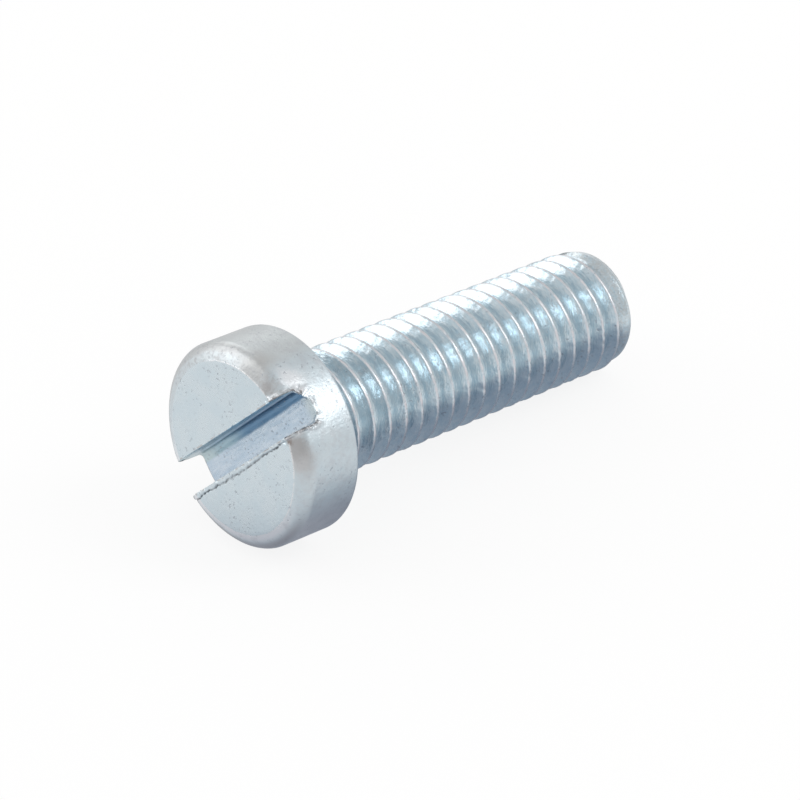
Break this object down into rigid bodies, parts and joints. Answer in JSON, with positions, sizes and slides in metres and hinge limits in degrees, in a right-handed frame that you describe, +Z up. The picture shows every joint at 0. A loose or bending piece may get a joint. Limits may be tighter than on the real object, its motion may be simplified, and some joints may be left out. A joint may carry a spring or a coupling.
{
  "type": "machine screw",
  "caption": "Slotted cheese-head machine screw, zinc-plated steel, threaded up to the head, lying on its side.",
  "frame": {"origin": "on the surface that the screw lies on, under the middle of its length and width", "axes": "+Z up; +X from the head towards the tip; the screw's own axis lies in the XZ plane and falls 5.7 degrees towards the tip, because the head is wider than the thread"},
  "size_m": [0.0238, 0.0098, 0.01],
  "materials": {
    "zinc_plated_steel": "bright zinc plating, satin"
  },
  "bodies": {
    "root": {"screw": "zinc_plated_steel"}
  },
  "joints": []
}
